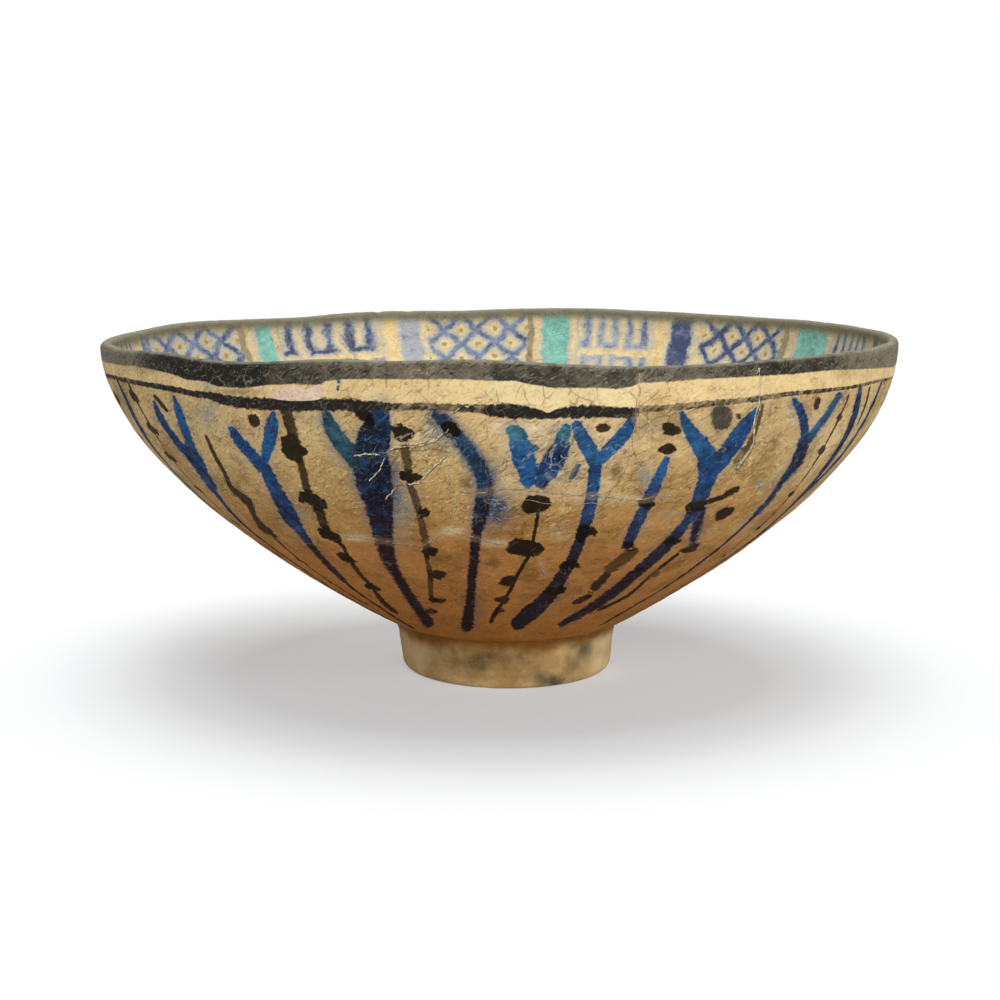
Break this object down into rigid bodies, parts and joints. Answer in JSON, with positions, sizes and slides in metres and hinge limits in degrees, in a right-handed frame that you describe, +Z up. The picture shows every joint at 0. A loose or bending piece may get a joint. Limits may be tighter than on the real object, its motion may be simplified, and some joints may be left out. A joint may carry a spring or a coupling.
{
  "type": "footed bowl",
  "caption": "Round footed bowl of glazed stonepaste with painted stems outside, mended from its sherds, that holds food or drink and stands on a foot ring.",
  "frame": {"origin": "on the standing surface, under the middle of the rim", "axes": "+Z up through the mouth of the bowl, -Y towards the pictured front"},
  "size_m": [0.2064, 0.2064, 0.0902],
  "materials": {
    "glazed_stonepaste": "satin clear glaze over blue and black brush painting, crazed and stained brown",
    "restored_stonepaste": "overpainted restoration with a duller varnish",
    "bare_stonepaste": "unglazed, soiled",
    "pink_plaster": "matt tinted plaster"
  },
  "bodies": {
    "root": {"foot_ring": "bare_stonepaste", "base": "glazed_stonepaste", "front_left_sherd": "glazed_stonepaste", "restored_panel": "restored_stonepaste", "front_right_sherd": "glazed_stonepaste", "right_sherd": "glazed_stonepaste", "back_sherd": "glazed_stonepaste", "back_splinter": "glazed_stonepaste", "left_sherd": "glazed_stonepaste", "plaster_fill": "pink_plaster"}
  },
  "joints": []
}
